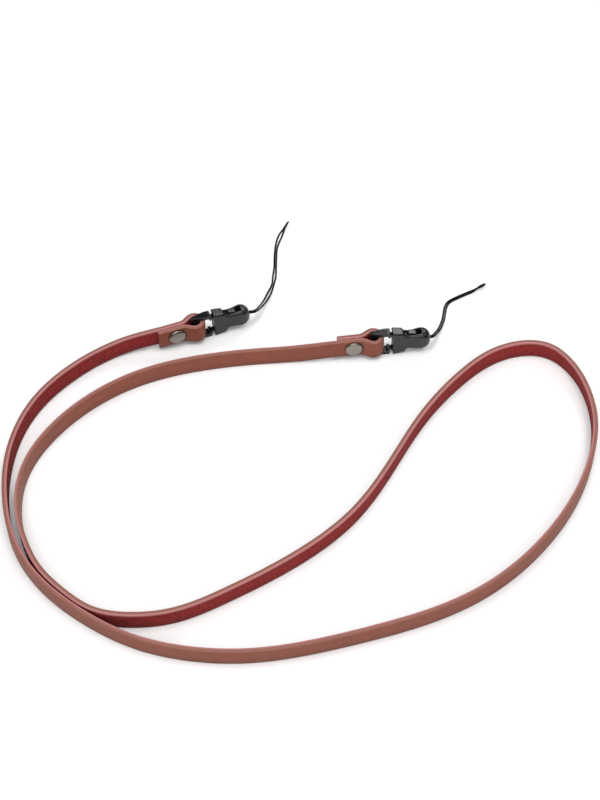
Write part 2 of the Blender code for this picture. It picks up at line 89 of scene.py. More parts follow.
# Route of the band's middle line: across is a share of half the loop's width, along of half its depth,
# inset is in thicknesses towards the middle, and lean in degrees towards the left of the way.
ROUTE = (
    # across, along, inset, lean
    (-0.636, 0.998, 0.00, 0.0),
    (-0.796, 0.832, 0.00, -3.0),
    (-0.937, 0.553, 0.00, -3.0),
    (-1.000, 0.180, 0.00, -1.5),
    (-0.989, -0.120, 0.00, 1.0),
    (-0.936, -0.378, 0.00, 0.0),
    (-0.838, -0.596, 0.00, -1.0),
    (-0.713, -0.762, 0.00, -1.5),
    (-0.533, -0.917, 0.00, -2.5),
    (-0.346, -0.989, 0.00, -2.0),
    (-0.160, -0.996, 0.00, -2.0),
    (0.024, -0.948, 0.00, -2.5),
    (0.207, -0.872, 0.00, -1.5),
    (0.390, -0.776, 0.00, -1.0),
    (0.569, -0.633, 0.00, 0.0),
    (0.734, -0.418, 0.00, 2.0),
    (0.877, -0.128, 0.00, 3.0),
    (0.978, 0.240, 0.00, 1.5),
    (1.001, 0.447, 0.00, 3.0),
    (0.992, 0.653, 0.00, 6.0),
    (0.947, 0.843, 0.00, 6.0),
    (0.866, 0.965, 0.00, 2.5),
    (0.761, 0.973, 0.00, 0.0),
    (0.654, 0.897, 0.00, -3.0),
    (0.561, 0.771, 0.00, -3.0),
    (0.405, 0.464, 0.00, -2.0),
    (0.284, 0.125, 0.00, -2.0),
    (0.156, -0.180, 0.00, -2.0),
    (-0.001, -0.407, 0.00, -1.5),
    (-0.254, -0.657, 0.00, 0.0),
    (-0.416, -0.772, 0.00, 0.0),
    (-0.550, -0.797, 0.00, 0.0),
    (-0.672, -0.773, 0.50, 0.0),
    (-0.780, -0.678, 1.20, 0.0),
    (-0.872, -0.530, 1.30, 0.0),
    (-0.930, -0.365, 1.40, 0.0),
    (-0.968, -0.150, 1.30, 0.0),
    (-0.949, 0.115, 0.40, 0.0),
    (-0.884, 0.333, 0.00, 0.0),
    (-0.756, 0.576, 0.00, 0.0),
    (-0.593, 0.753, 0.00, 0.0),
    (-0.350, 0.877, 0.00, 0.0),
    (-0.094, 0.929, 0.00, 0.0),
)

# Where each fold turns round its ring bar, as shares like the route's, and the way that the quick
# release points, in degrees.  Side is the side of that way on which the band arrives, flap the metres of
# band beyond the rivet's middle.
ENDS = {
    # name: across, along, heading, side, flap
    "left": (-0.395, 1.111, 21.0, 1, 0.0080),
    "right": (0.245, 0.997, 8.0, -1, 0.0068),
}

# Middle line of each doubled cord from the hole in the socket's tail, in metres: along X and Y from the
# hole, height above the floor, and the distance between its two strands.
CORD_ROUTES = {
    # x, y, height, spread
    "left": (
        (0.0024, 0.0008, 0.0062, 0.0009),
        (0.0042, 0.0035, 0.0050, 0.0010),
        (0.0061, 0.0080, 0.0032, 0.0012),
        (0.0083, 0.0148, 0.0013, 0.0015),
        (0.0093, 0.0183, 0.0007, 0.0013),
        (0.0100, 0.0208, 0.0005, 0.0009),
        (0.0108, 0.0265, 0.0005, 0.0013),
        (0.0111, 0.0313, 0.0005, 0.0009),
        (0.0112, 0.0381, 0.0005, 0.0009),
        (0.0115, 0.0441, 0.0005, 0.0009),
        (0.0129, 0.0506, 0.0005, 0.0016),
        (0.0142, 0.0541, 0.0005, 0.0013),
        (0.0151, 0.0561, 0.0005, 0.0009),
    ),
    "right": (
        (0.0011, 0.0005, 0.0062, 0.0009),
        (0.0025, 0.0027, 0.0050, 0.0009),
        (0.0044, 0.0068, 0.0030, 0.0009),
        (0.0061, 0.0117, 0.0012, 0.0009),
        (0.0071, 0.0152, 0.0005, 0.0009),
        (0.0082, 0.0210, 0.0005, 0.0009),
        (0.0090, 0.0235, 0.0005, 0.0009),
        (0.0101, 0.0252, 0.0005, 0.0009),
        (0.0123, 0.0269, 0.0005, 0.0009),
        (0.0172, 0.0297, 0.0005, 0.0009),
        (0.0235, 0.0331, 0.0005, 0.0009),
    ),
}
CORD_INSIDE = 0.0032
CORD_EXIT_SPREAD = 0.0010
BIGHT_RADIUS = 0.0016
BIGHT_TURN = 225.0
BIGHT_LEAN = 26.0
RETURN_RUN = 0.0042

# Where the leather's colours meet in its section, in metres: from the middle, where the lip of the flesh
# side starts and ends, and from the rim, where the edge's finish begins on either side and is full; its wider
# start on the flesh side is painted light.
SIDE_BLEND = 0.0004
LIP_ACROSS = (-0.0008, 0.0001)
EDGE_AND_PAINTED_LIGHT_ON_FLESH = 0.0012
EDGE_ON_GRAIN = 0.00042
EDGE_FULL = 0.00012
# Height of the painted shade along the band's lower edge
SHADED_FOOT_HEIGHT = 0.0009

# Cells of each drawn texture to the metre.  The nap, the spark texture and the scratches are drawn coarser
# than they are, so that they show.
DYE_SCALE = 160.0
NAP_SCALE = 1500.0
SPARK_SCALE = 2400.0
HANDLING_SCALE = 300.0
BLOOM_SCALE = 600.0
SCRATCH_SCALE = 6000.0
FUZZ_SCALE = 9000.0

# The cord's braid: points along one diamond, crossings round the cord, and depth as a share of its diameter
BRAID_POINTS = 7.0
BRAID_YARNS = 4
BRAID_DEPTH = 0.09

# How a moulding's edges are softened, and the share of its faces that is kept
MOULD_SMOOTHING = 0.5
MOULD_ROUNDS = 4
MOULD_FACES_KEPT = 0.35

CAP_STANDOFF = GAP * 0.4
CAMERA_FROM_MIDDLE = (-0.001884, -0.367948)
FLOOR_HALF_SIZE = 6.0
CEILING_FROM = 0.7

LIGHTS = (
    # name, place, size, share of the key light's power
    ("Overhead softbox", (0.0, -0.10, 1.5), (1.0, 1.0), 0.65),
    ("Left softbox", (-0.80, -0.15, 0.9), (0.9, 0.9), 0.20),
    ("Right softbox", (0.85, -0.20, 0.9), (0.9, 0.9), 0.15),
    ("Front softbox", (0.10, -1.10, 0.8), (1.0, 1.0), 0.40),
    ("Back strip", (0.38, 0.86, 0.92), (0.36, 0.26), 0.19),
)

# Half outline of a rivet's pressed cap, as shares of its radius and of its height.
RIVET_CAP_OUTLINE = (
    # radius, height
    (0.00, 1.00),
    (0.40, 0.98),
    (0.62, 0.94),
    (0.76, 0.87),
    (0.86, 0.76),
    (0.93, 0.61),
    (0.97, 0.44),
    (0.99, 0.28),
    (1.00, 0.13),
    (0.985, 0.00),
    (0.90, -0.10),
    (0.30, -0.12),
)


def linear(code):
    """Linear colour of an sRGB hex value."""
    channels = [int(code[i:i + 2], 16) / 255 for i in (0, 2, 4)]
    return tuple(c / 12.92 if c <= 0.04045 else ((c + 0.055) / 1.055) ** 2.4 for c in channels)


def add_node(tree, kind, inputs=None, **settings):
    """Node of one kind with its settings, and its inputs set to values or linked to sockets."""
    node = tree.nodes.new(kind)
    for name, value in settings.items():
        setattr(node, name, value)
    for key, value in (inputs or {}).items():
        if isinstance(value, bpy.types.NodeSocket):
            tree.links.new(value, node.inputs[key])
        else:
            node.inputs[key].default_value = value
    return node


def map_range(tree, value, low=0.0, high=1.0, start=0.0, end=1.0, **settings):
    """Socket that runs from start to end while a value runs from low to high."""
    inputs = {"Value": value, "From Min": low, "From Max": high, "To Min": start, "To Max": end}
    return add_node(tree, "ShaderNodeMapRange", inputs, clamp=True, **settings).outputs["Result"]


def add_math(tree, operation, *values):
    return add_node(tree, "ShaderNodeMath", dict(enumerate(values)), operation=operation).outputs[0]


def add_noise(tree, where, scale, detail=3.0, **inputs):
    return add_node(tree, "ShaderNodeTexNoise",
                    {"Vector": where, "Scale": scale, "Detail": detail, **inputs}).outputs["Fac"]


def shade(colour, factor):
    return tuple(min(c * factor, 1) for c in colour)


def mix_colours(tree, factor, one, other, blend="MIX"):
    """Mix of two colours, each given as values, as a socket or, for a grey, as one number."""
    pair = [c if isinstance(c, (bpy.types.NodeSocket, float)) else (*c, 1) for c in (one, other)]
    return add_node(tree, "ShaderNodeMix", {0: factor, 6: pair[0], 7: pair[1]}, data_type="RGBA",
                    blend_type=blend).outputs[2]


def add_relief(tree, shader, height, strength, distance):
    """Fine relief on a surface, too shallow to be a shape."""
    bump = add_node(tree, "ShaderNodeBump", {"Height": height, "Strength": strength, "Distance": distance})
    tree.links.new(bump.outputs["Normal"], shader.inputs["Normal"])


def store(tree, geometry, name, value, kind="FLOAT"):
    """Geometry with a value kept at each of its points."""
    inputs = {"Geometry": geometry, "Name": name, "Value": value}
    return add_node(tree, "GeometryNodeStoreNamedAttribute", inputs, data_type=kind,
                    domain="POINT").outputs["Geometry"]


def new_tree(name, *inputs):
    """Geometry tree with the given inputs besides its geometry, and the sockets of them all."""
    tree = bpy.data.node_groups.new(name, "GeometryNodeTree")
    for label, kind, default in (("Geometry", "Geometry", None), *inputs):
        socket = tree.interface.new_socket(label, in_out="INPUT", socket_type="NodeSocket" + kind)
        if default is not None:
            socket.default_value = default
    tree.interface.new_socket("Geometry", in_out="OUTPUT", socket_type="NodeSocketGeometry")
    return tree, add_node(tree, "NodeGroupInput").outputs


def finish_tree(tree, geometry, material):
    """Real mesh in one material, as the tree's output."""
    real = add_node(tree, "GeometryNodeRealizeInstances", {"Geometry": geometry})
    dressed = add_node(tree, "GeometryNodeSetMaterial", {"Geometry": real.outputs["Geometry"],
                                                         "Material": material})
    add_node(tree, "NodeGroupOutput", {"Geometry": dressed.outputs["Geometry"]})


def new_material(name):
    material = bpy.data.materials.new(name)
    material.use_nodes = True
    return material, material.node_tree, material.node_tree.nodes["Principled BSDF"]


def link_object(name, data):
    item = bpy.data.objects.new(name, data)
    bpy.context.scene.collection.objects.link(item)
    return item


def run_tree(source, tree, values, name):
    """Plain mesh object that a geometry tree makes from a source object, which is then removed."""
    step = source.modifiers.new(tree.name, "NODES")
    step.node_group = tree
    for item in tree.interface.items_tree:
        if item.item_type == "SOCKET" and item.in_out == "INPUT" and item.name in values:
            step[item.identifier] = values[item.name]
    graph = bpy.context.evaluated_depsgraph_get()
    mesh = bpy.data.meshes.new_from_object(source.evaluated_get(graph), depsgraph=graph)
    mesh.name = name
    bpy.data.objects.remove(source, do_unlink=True)
    return link_object(name, mesh)


def smooth_share(value):
    value = min(max(value, 0.0), 1.0)
    return value * value * (3 - 2 * value)


def smooth_curve(rows, first_way, last_way, step):
    """Evenly spaced rows on the curve through the given rows that bends most evenly."""
    rows = np.array(rows, dtype=float)
    count = len(rows)
    spans = np.linalg.norm(np.diff(rows[:, :2], axis=0), axis=1)
    slopes = np.diff(rows, axis=0) / spans[:, None]
    system = np.zeros((count, count))
    right = np.zeros_like(rows)
    system[0, 0] = system[-1, -1] = 1.0
    right[0] = first_way
    right[-1] = last_way
    for i in range(1, count - 1):
        before, after = 1 / spans[i - 1], 1 / spans[i]
        system[i, i - 1:i + 2] = before, 2 * (before + after), after
        right[i] = 3 * (slopes[i - 1] * before + slopes[i] * after)
    tangents = np.linalg.solve(system, right)
    fine = [rows[0]]
    for i, span in enumerate(spans):
        for t in np.linspace(0, 1, FINE_STEPS + 1)[1:]:
            fine.append((2 * t ** 3 - 3 * t ** 2 + 1) * rows[i]
                        + (t ** 3 - 2 * t ** 2 + t) * span * tangents[i]
                        + (3 * t ** 2 - 2 * t ** 3) * rows[i + 1]
                        + (t ** 3 - t ** 2) * span * tangents[i + 1])
    fine = np.array(fine)
    along = np.concatenate([[0], np.cumsum(np.linalg.norm(np.diff(fine[:, :2], axis=0), axis=1))])
    places = np.linspace(0, along[-1], max(2, round(along[-1] / step)) + 1)
    return np.stack([np.interp(places, along, column) for column in fine.T], axis=1)


def end_frame(name):
    """Place of a fold's ring bar, found from its rivet, with X the way that the quick release points."""
    low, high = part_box(name + "_rivet")
    heading = math.radians(ENDS[name][2])
    middle = (low + high) / 2 + Vector((math.cos(heading), math.sin(heading), 0)) * RIVET_FROM_BAR
    middle.z = MIDDLE_HEIGHT
    return Matrix.Translation(middle) @ Matrix.Rotation(heading, 4, "Z")


def loop_middle():
    """Point that the route's shares are measured from."""
    across, along = ENDS["left"][:2]
    return end_frame("left").translation.xy - Vector((across * LOOP_WIDTH, along * LOOP_DEPTH)) / 2


def fold_line(name):
    """Middle line of a folded end, from where the route joins it to the tip of its flap."""
    place, side, flap_length = end_frame(name), *ENDS[name][3:]
    joint = RIVET_FROM_BAR + RIVET_CAP_RADIUS + 2 * GAP
    tip = RIVET_FROM_BAR + flap_length

    def layer(back, sign):
        opened = smooth_share(1 - back / SPREAD_FROM_BAR)
        offset = LAYER_SPACING / 2 + (FOLD_RADIUS - LAYER_SPACING / 2) * opened
        return (-back, sign * side * offset)

    straight = np.linspace(joint, SPREAD_FROM_BAR, FOLD_STEPS // 3)[:-1]
    opening = np.linspace(SPREAD_FROM_BAR, 0, FOLD_STEPS)[:-1]
    turn = np.linspace(math.pi / 2, -math.pi / 2, FOLD_STEPS + 1)
    flap = np.linspace(SPREAD_FROM_BAR, tip, FOLD_STEPS // 2)[1:]
    plan = [layer(back, 1) for back in (*straight, *opening)]
    plan += [(FOLD_RADIUS * math.cos(a), side * FOLD_RADIUS * math.sin(a)) for a in turn]
    plan += [layer(back, -1) for back in (*opening[::-1], *flap)]
    return [(*(place @ Vector((x, y, 0))).xy, STRAP_LIFT, 0.0) for x, y in plan]


def band_line():
    """The band's middle line with its lift and lean, from the left flap's tip to the right one's."""
    left, right = fold_line("left"), fold_line("right")
    middle = loop_middle()
    rows = [left[0]]
    for across, along, inset, lean in ROUTE:
        spot = Vector((across * LOOP_WIDTH / 2, along * LOOP_DEPTH / 2))
        spot += middle - spot.normalized() * inset * STRAP_THICKNESS
        rows.append((spot.x, spot.y, 0.0, lean))
    rows.append(right[0])
    ways = []
    for name, sign in (("left", -1), ("right", 1)):
        heading = math.radians(ENDS[name][2])
        ways.append((sign * math.cos(heading), sign * math.sin(heading), 0.0, 0.0))
    route = smooth_curve(rows, ways[0], ways[1], BAND_STEP)
    along = np.concatenate([[0], np.cumsum(np.linalg.norm(np.diff(route[:, :2], axis=0), axis=1))])
    for row, done in zip(route, along):
        row[2] = STRAP_LIFT * (1 - smooth_share(min(done, along[-1] - done) / LIFT_RUN))
    return left[::-1] + [tuple(row) for row in route[1:-1]] + right


def bight_line(end, way, back):
    """Curl of the first strand's end, upwards and over, and its way down to where the second one lies."""
    lean = math.radians(BIGHT_LEAN)
    rise = Vector((0, 0, math.cos(lean))) + Vector((way.y, -way.x, 0)) * math.sin(lean)
    curl = []
    for degrees in np.linspace(0, BIGHT_TURN, BIGHT_STEPS + 1):
        angle = math.radians(degrees - 90)
        curl.append(end + BIGHT_RADIUS * (way * (1 + math.cos(angle)) + rise * (1 + math.sin(angle))))
    run = (back[0] - curl[-1]).length
    leave = (rise * math.cos(angle) - way * math.sin(angle)) * run
    arrive = (back[1] - back[0]).normalized() * run
    down = []
    for i in range(1, RETURN_STEPS):
        t = i / RETURN_STEPS
        down.append((2 * t ** 3 - 3 * t ** 2 + 1) * curl[-1] + (t ** 3 - 2 * t ** 2 + t) * leave
                    + (3 * t ** 2 - 2 * t ** 3) * back[0] + (t ** 3 - t ** 2) * arrive)
    return curl + down


def cord_line(name):
    """Both strands and the bight of one loop, as one line from the tail's hole back into it."""
    place = end_frame(name)
    start = place @ Vector((TAIL_FROM_BAR - CORD_INSIDE, 0, 0))
    hole = place @ Vector((TAIL_FROM_BAR, 0, 0))
    rows = [(*start, CORD_EXIT_SPREAD), (*hole, CORD_EXIT_SPREAD)]
    rows += [(hole.x + x, hole.y + y, z, spread) for x, y, z, spread in CORD_ROUTES[name]]
    first = (hole - start).normalized()
    last = (Vector(rows[-1][:2]) - Vector(rows[-2][:2])).normalized()
    line = smooth_curve(rows, (first.x, first.y, 0, 0), (last.x, last.y, 0, 0), CORD_STEP)
    radius = bpy.context.scene.strap_cords.diameter / 2
    strands = []
    for sign in (1, -1):
        strand = []
        for i, (x, y, z, spread) in enumerate(line):
            before, after = line[max(i - 1, 0)], line[min(i + 1, len(line) - 1)]
            way = Vector((after[0] - before[0], after[1] - before[1], 0)).normalized()
            aside = Vector((-way.y, way.x, 0))
            strand.append(Vector((x, y, max(z, radius))) + aside * sign * spread / 2)
        strands.append(strand)
    back = strands[1][-1 - round(RETURN_RUN / CORD_STEP)::-1]
    return strands[0] + bight_line(strands[0][-1], last.to_3d(), back) + back


def path_object(name, points, tilts=None, radii=None):
    """Poly curve through points, with a tilt and a radius for each where they are given."""
    curve = bpy.data.curves.new(name, "CURVE")
    curve.dimensions = "3D"
    spline = curve.splines.new("POLY")
    spline.points.add(len(points) - 1)
    for i, (point, spot) in enumerate(zip(spline.points, points)):
        point.co = (*spot, 1)
        point.tilt = tilts[i] if tilts else 0.0
        point.radius = radii[i] if radii else 1.0
    return link_object(name, curve)


def cap_faces(height):
    """Points, edges and faces of a rivet cap: its outline turned round the axis and closed below."""
    top, *rings = RIVET_CAP_OUTLINE
    spots = [(0, 0, top[1] * height)]
    for radius, level in rings:
        for angle in (math.tau * step / CAP_STEPS for step in range(CAP_STEPS)):
            spots.append((radius * RIVET_CAP_RADIUS * math.cos(angle),
                          radius * RIVET_CAP_RADIUS * math.sin(angle), level * height))

    def spot(ring, step):
        return 1 + ring * CAP_STEPS + step % CAP_STEPS

    faces = [(0, spot(0, i), spot(0, i + 1)) for i in range(CAP_STEPS)]
    for ring in range(len(rings) - 1):
        faces += [(spot(ring, i), spot(ring + 1, i), spot(ring + 1, i + 1), spot(ring, i + 1))
                  for i in range(CAP_STEPS)]
    faces.append([spot(len(rings) - 1, i) for i in reversed(range(CAP_STEPS))])
    return spots, [], faces


# Sizes and colours that a user would change


class STRAP_PG_leather(bpy.types.PropertyGroup):
    edge_round: FloatProperty(name="Edge rounding", description="Radius of the burnished edges of the band",
                              default=0.00050, min=0.00005, max=0.0009, precision=5, unit="LENGTH")
    grain_colour: FloatVectorProperty(name="Grain side", description="Dyed and finished outer side",
                                      default=linear("824431"), min=0, max=1, subtype="COLOR")
    flesh_colour: FloatVectorProperty(name="Flesh side", description="Dyed suede-like inner side",
                                      default=linear("802524"), min=0, max=1, subtype="COLOR")
    edge_colour: FloatVectorProperty(name="Edges", description="Sanded and sealed edges",
                                     default=linear("8C5B4E"), min=0, max=1, subtype="COLOR")
    lip_colour: FloatVectorProperty(name="Flesh lip", description="Rubbed corner of the flesh side",
                                    default=linear("B37B7B"), min=0, max=1, subtype="COLOR")
    grain_size: FloatProperty(name="Grain size", description="Width of one pebble of the grain",
                              default=0.00055, min=0.0001, max=0.003, precision=5, unit="LENGTH")


class STRAP_PG_fittings(bpy.types.PropertyGroup):
    plastic_colour: FloatVectorProperty(name="Plastic", description="Moulded quick releases",
                                        default=linear("080809"), min=0, max=1, subtype="COLOR")
    nickel_colour: FloatVectorProperty(name="Rivets", description="Satin nickel plate on the rivets",
                                       default=linear("A39B92"), min=0, max=1, subtype="COLOR")
    edge_detail: FloatProperty(name="Edge detail", description="Finest edge radius of a moulding",
                               default=0.00011, min=0.00008, max=0.0004, precision=5, unit="LENGTH")
    cap_height: FloatProperty(name="Rivet cap height", description="How far a cap stands off the leather",
                              default=0.0008, min=0.0003, max=0.002, precision=5, unit="LENGTH")


class STRAP_PG_cords(bpy.types.PropertyGroup):
    diameter: FloatProperty(name="Diameter", description="Diameter of the braided cord", default=0.0008,
                            min=0.0004, max=0.003, precision=5, unit="LENGTH")
    braid_pitch: FloatProperty(name="Braid pitch", description="Length of one diamond of the braid",
                               default=0.0009, min=0.0002, max=0.005, precision=5, unit="LENGTH")
    sides: IntProperty(name="Sides", description="Faces around the cord", default=16, min=8, max=32)
    colour: FloatVectorProperty(name="Colour", description="Dyed polyester yarn", default=linear("050506"),
                                min=0, max=1, subtype="COLOR")


class STRAP_PG_studio(bpy.types.PropertyGroup):
    lens: FloatProperty(name="Lens", description="Focal length for a frame 36 mm high", default=72.0,
                        min=20, max=200, unit="CAMERA")
    height: FloatProperty(name="Camera height", description="Height of the camera above the floor",
                          default=0.524, min=0.1, max=3, unit="LENGTH")
    pitch: FloatProperty(name="Camera pitch", description="How far the camera looks down",
                         default=math.radians(51.5), min=0, max=math.pi / 2, subtype="ANGLE", unit="ROTATION")
    floor_colour: FloatVectorProperty(name="Floor", description="Plain pale floor", default=linear("F4F4F4"),
                                      min=0, max=1, subtype="COLOR")
    key_power: FloatProperty(name="Key light", description="Power of the softboxes", default=22.0,
                             min=0, max=200, unit="POWER")
    horizon: FloatProperty(name="Horizon", description="Light from the surround at floor level",
                           default=1.60, min=0, max=5)
    ceiling: FloatProperty(name="Ceiling", description="Light from the surround overhead", default=0.35,
                           min=0, max=5)


# Materials


def leather_material():
    """Vegetable tanned cowhide, 2 mm split, dyed through: a resin finish leaves the grain side a smooth
    even brown with faint pores, the sanded flesh side is a darker red nap, and the sealed edges are pale."""
    look = bpy.context.scene.strap_leather
    material, tree, shader = new_material("Dyed cowhide")
    section = add_node(tree, "ShaderNodeAttribute", attribute_name="section").outputs["Vector"]
    parts = add_node(tree, "ShaderNodeSeparateXYZ", {0: section}).outputs
    across, down = parts["X"], parts["Y"]
    where = add_node(tree, "ShaderNodeTexCoord").outputs["Object"]
    cloud = add_noise(tree, where, DYE_SCALE)
    pores = add_node(tree, "ShaderNodeTexVoronoi",
                     {"Vector": where, "Scale": 1 / look.grain_size, "Randomness": 1.0},
                     feature="SMOOTH_F1").outputs["Distance"]
    nap = add_noise(tree, where, NAP_SCALE, 4.0, Roughness=0.7)

    grain = mix_colours(tree, cloud, shade(look.grain_colour, 0.80), shade(look.grain_colour, 1.16))
    speckle = map_range(tree, nap, 0.34, 0.68)
    flesh = mix_colours(tree, speckle, shade(look.flesh_colour, 0.35), shade(look.flesh_colour, 1.85))
    side = map_range(tree, across, -SIDE_BLEND, SIDE_BLEND)
    faces = mix_colours(tree, side, flesh, grain)
    # The edge finish ends sharply on the grain side and fades into the nap on the flesh side; the wide fade
    # there is painted light
    rim = STRAP_WIDTH / 2
    edge_and_painted_light_start = map_range(tree, side, start=rim - EDGE_AND_PAINTED_LIGHT_ON_FLESH, end=rim - EDGE_ON_GRAIN)
    edge = map_range(tree, add_math(tree, "ABSOLUTE", down), edge_and_painted_light_start, rim - EDGE_FULL)
    finish = mix_colours(tree, cloud, shade(look.edge_colour, 0.80), look.edge_colour)
    lip = map_range(tree, across, *LIP_ACROSS, start=1.0, end=0.0)
    whole = mix_colours(tree, edge, faces, mix_colours(tree, lip, finish, look.lip_colour))
    # Painted shade: the lower half of the band is darker, most of all on the nap and along the lower edge,
    # where less light falls
    painted_shade = map_range(tree, down, rim, 0.0, start=map_range(tree, side, start=0.60, end=0.80))
    foot = map_range(tree, down, rim, rim - SHADED_FOOT_HEIGHT, start=0.40)
    shaded = mix_colours(tree, 1.0, whole, add_math(tree, "MULTIPLY", painted_shade, foot), "MULTIPLY")
    # Painted shadow: a dark ring round each rivet's cap, where the cap's contact shadow falls on the leather
    ring = 1.0
    for name in ENDS:
        place = end_frame(name)
        centre = place @ Vector((-RIVET_FROM_BAR, 0, 0))
        from_rivet = add_node(tree, "ShaderNodeVectorMath", {0: where, 1: centre},
                              operation="SUBTRACT").outputs[0]
        off_axis = add_node(tree, "ShaderNodeVectorMath", {0: from_rivet, 1: place.col[1].xyz},
                            operation="CROSS_PRODUCT").outputs[0]
        away, distance = (add_node(tree, "ShaderNodeVectorMath", {0: vector},
                                   operation="LENGTH").outputs["Value"] for vector in (off_axis, from_rivet))
        painted_rivet_shadow = map_range(tree, away, RIVET_CAP_RADIUS + RIVET_SHADOW_WIDTH / 3, RIVET_CAP_RADIUS + RIVET_SHADOW_WIDTH,
                          start=0.25)
        shadow_near_rivet = add_math(tree, "MAXIMUM", painted_rivet_shadow, add_math(tree, "GREATER_THAN", distance, RIVET_FROM_BAR))
        ring = add_math(tree, "MULTIPLY", shadow_near_rivet, ring)
    tree.links.new(mix_colours(tree, 1.0, shaded, ring, "MULTIPLY"), shader.inputs["Base Color"])

    rough = add_math(tree, "MULTIPLY_ADD", cloud, 0.08, map_range(tree, side, start=0.92, end=0.50))
    tree.links.new(rough, shader.inputs["Roughness"])
    shader.inputs["IOR"].default_value = 1.46
    shader.inputs["Specular IOR Level"].default_value = 0.34
    relief = add_node(tree, "ShaderNodeMix", {0: side, 2: nap, 3: add_math(tree, "MULTIPLY", pores, 0.30)},
                      data_type="FLOAT").outputs[0]
    add_relief(tree, shader, relief, 0.6, 0.00016)
    return material


def plastic_material():
    """Acetal, injection moulded in a spark-eroded tool: near black, satin, with a fine even texture, and a
    painted highlight: its high edges are painted lighter."""
    look = bpy.context.scene.strap_fittings
    material, tree, shader = new_material("Moulded acetal")
    where = add_node(tree, "ShaderNodeTexCoord").outputs["Object"]
    spark = add_noise(tree, where, SPARK_SCALE)
    handling = add_noise(tree, where, HANDLING_SCALE)
    convexity = add_node(tree, "ShaderNodeNewGeometry").outputs["Pointiness"]
    pitted = mix_colours(tree, map_range(tree, spark, 0.35, 0.70), look.plastic_colour,
                         shade(look.plastic_colour, 4.0))
    # Painted highlight: the high edges are painted lighter than the rest
    painted_edge_highlight = tuple(min(c * 2.6 + 0.004, 1) for c in look.plastic_colour)
    colour = mix_colours(tree, map_range(tree, convexity, 0.50, 0.58), pitted, painted_edge_highlight)
    tree.links.new(colour, shader.inputs["Base Color"])
    tree.links.new(map_range(tree, handling, start=0.20, end=0.34), shader.inputs["Roughness"])
    shader.inputs["IOR"].default_value = 1.48
    add_relief(tree, shader, spark, 0.4, 0.00008)
    return material


def nickel_material():
    """Nickel plate on pressed brass, tumbled to a satin: warm grey, with fine scratches and a soft bloom."""
    look = bpy.context.scene.strap_fittings
    material, tree, shader = new_material("Tumbled nickel plate")
    where = add_node(tree, "ShaderNodeTexCoord").outputs["Object"]
    bloom = add_noise(tree, where, BLOOM_SCALE)
    colour = mix_colours(tree, bloom, shade(look.nickel_colour, 0.5), look.nickel_colour)
    tree.links.new(colour, shader.inputs["Base Color"])
    shader.inputs["Metallic"].default_value = 1.0
    tree.links.new(map_range(tree, bloom, start=0.26, end=0.40), shader.inputs["Roughness"])
    add_relief(tree, shader, add_noise(tree, where, SCRATCH_SCALE, 2.0), 0.12, 0.00004)
    return material


def cord_material():
    """Braided polyester yarn, dyed black: matt, with a painted sheen on each yarn and painted shade in the
    gaps between.
    """
    look = bpy.context.scene.strap_cords
    material, tree, shader = new_material("Braided polyester")
    braid = add_node(tree, "ShaderNodeAttribute", attribute_name="braid").outputs["Fac"]
    # Painted sheen and painted shade: lighter on the yarns' crowns, darker in the gaps between them
    colour = mix_colours(tree, braid, shade(look.colour, 0.45), shade(look.colour, 1.9))
    tree.links.new(colour, shader.inputs["Base Color"])
    shader.inputs["Roughness"].default_value = 0.72
    shader.inputs["Specular IOR Level"].default_value = 0.2
    where = add_node(tree, "ShaderNodeTexCoord").outputs["Object"]
    add_relief(tree, shader, add_noise(tree, where, FUZZ_SCALE, 2.0), 0.3, 0.00004)
    return material


# Geometry trees


def band_tree(material):
    """Sweeps the band's rounded section along its path and keeps each point's place in the section."""
    tree, group = new_tree("Leather band", ("Width", "Float", STRAP_WIDTH),
                           ("Thickness", "Float", STRAP_THICKNESS), ("Edge Rounding", "Float", 0.0005))
    turned = add_node(tree, "GeometryNodeSetCurveNormal", {"Curve": group["Geometry"]}, mode="Z_UP")
    outline = add_node(tree, "GeometryNodeCurvePrimitiveQuadrilateral",
                       {"Width": group["Thickness"], "Height": group["Width"]})
    rounded = add_node(tree, "GeometryNodeFilletCurve",
                       {"Curve": outline.outputs["Curve"], "Radius": group["Edge Rounding"], "Count": 5},
                       mode="POLY")
    place = add_node(tree, "GeometryNodeInputPosition").outputs["Position"]
    section = store(tree, rounded.outputs["Curve"], "section", place, "FLOAT_VECTOR")
    swept = add_node(tree, "GeometryNodeCurveToMesh",
                     {"Curve": turned.outputs["Curve"], "Profile Curve": section, "Fill Caps": True})
    smooth = add_node(tree, "GeometryNodeSetShadeSmooth", {"Geometry": swept.outputs["Mesh"]})
    finish_tree(tree, smooth.outputs["Geometry"], material)
    return tree


